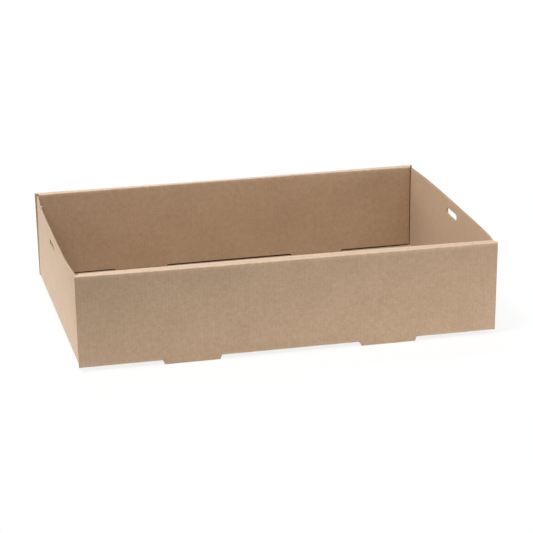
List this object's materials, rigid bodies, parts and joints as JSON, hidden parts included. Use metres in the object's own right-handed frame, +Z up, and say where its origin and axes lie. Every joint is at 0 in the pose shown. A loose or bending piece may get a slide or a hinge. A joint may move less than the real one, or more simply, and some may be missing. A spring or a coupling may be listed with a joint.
{
  "type": "cardboard tray box",
  "caption": "Open shallow tray folded from one sheet of kraft corrugated board, with rolled long walls, short feet, lock tabs through the floor and a slot in each end wall.",
  "frame": {"origin": "centre of the footprint, on the table under the four feet", "axes": "+X along the long walls, +Y across the tray, +Z up out of its open top"},
  "size_m": [0.3644, 0.25, 0.0833],
  "materials": {
    "kraft_board": "matt brown kraft liner over a fine corrugated flute"
  },
  "bodies": {
    "root": {"tray": "kraft_board"}
  },
  "joints": []
}
